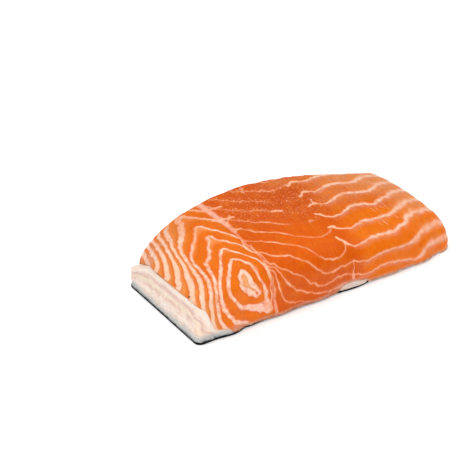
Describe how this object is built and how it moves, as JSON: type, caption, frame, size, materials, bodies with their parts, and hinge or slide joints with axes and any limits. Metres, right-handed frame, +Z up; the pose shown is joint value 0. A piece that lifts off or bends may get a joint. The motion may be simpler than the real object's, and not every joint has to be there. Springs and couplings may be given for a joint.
{
  "type": "raw salmon fillet portion",
  "caption": "Raw salmon fillet portion lying on its skin: domed orange flesh with pale marbling lines, a cream fat edge that is thick at the back end, and a thin dark skin under it.",
  "frame": {"origin": "centre of the bounding box in plan, at the underside of the skin", "axes": "+X from the thick back end with the fat edge towards the thin belly end, -Y out of the front cut face, +Z up from the skin to the flesh"},
  "size_m": [0.1424, 0.0596, 0.0337],
  "materials": {
    "flesh": "raw salmon flesh, orange, moist, with pale lines",
    "fat": "raw fish fat, cream to pale pink, moist",
    "skin": "fish skin with scales, dark grey at the back end and silver towards the belly"
  },
  "bodies": {
    "root": {"flesh": "flesh", "fat": "fat", "skin": "skin"}
  },
  "joints": []
}
